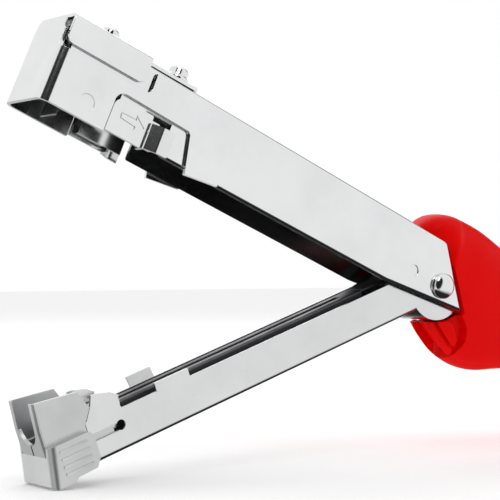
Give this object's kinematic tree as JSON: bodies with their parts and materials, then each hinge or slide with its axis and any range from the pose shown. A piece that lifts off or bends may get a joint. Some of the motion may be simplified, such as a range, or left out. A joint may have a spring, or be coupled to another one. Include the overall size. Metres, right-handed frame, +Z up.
{
  "type": "hammer tacker",
  "caption": "Hammer tacker opened for loading: plated steel channel with a striking head and a red plastic grip, and a hinged staple magazine swung down under it.",
  "frame": {"origin": "on the floor under the middle of the opened tool's bounding box, which stands on its nose cap and on the butt of its grip", "axes": "+X from the striking head to the grip, +Y along the pivot, away from the side with the lower front magazine wall, +Z up"},
  "size_m": [0.2922, 0.0336, 0.1492],
  "materials": {
    "plated_sheet": "bright nickel plate on pressed sheet",
    "plated_solid": "bright nickel plate",
    "inner_steel": "plain rolled steel",
    "spring_steel": "dark oiled spring steel",
    "red_plastic": "gloss moulded plastic"
  },
  "bodies": {
    "body": {"body_channel": "plated_sheet", "head_housing": "plated_sheet", "top_cap": "plated_sheet", "top_strap": "plated_sheet", "cap_rivets": "plated_solid", "strap_rivets": "plated_solid", "driver_blade": "inner_steel", "driver_clamp": "inner_steel", "return_leaf": "spring_steel", "open_stop": "inner_steel", "pivot_rivet": "plated_solid", "handle_fork": "inner_steel", "tang_pins": "inner_steel", "handle_grip": "red_plastic", "latch_bracket": "inner_steel", "latch_springs": "spring_steel"},
    "magazine": {"magazine_channel": "plated_sheet", "nose_guide": "plated_sheet", "nose_cap": "plated_solid", "staple_rail": "inner_steel", "rail_tongue": "inner_steel", "guide_rod": "inner_steel", "rod_front_block": "inner_steel", "rod_rear_block": "inner_steel", "pusher_spring": "spring_steel"},
    "pusher": {"pusher": "plated_solid"},
    "latch": {"latch_slider": "plated_sheet"}
  },
  "joints": [
    {"name": "magazine_swing", "type": "hinge", "parent": "body", "child": "magazine", "pos_m": [0.01766, 0, 0.06221], "axis": [0, 1, 0], "range_deg": [0, 41.6]},
    {"name": "pusher_slide", "type": "slide", "parent": "magazine", "child": "pusher", "axis": [0.9432, 0, 0.3322], "range_m": [0, 0.088], "stiffness_N_per_m": 40, "springref_m": -0.03, "deforming": ["pusher_spring"]},
    {"name": "latch_slide", "type": "slide", "parent": "body", "child": "latch", "axis": [0.9171, 0, -0.3987], "range_m": [0, 0.0055], "stiffness_N_per_m": 800, "springref_m": -0.003, "deforming": ["latch_springs"]}
  ]
}
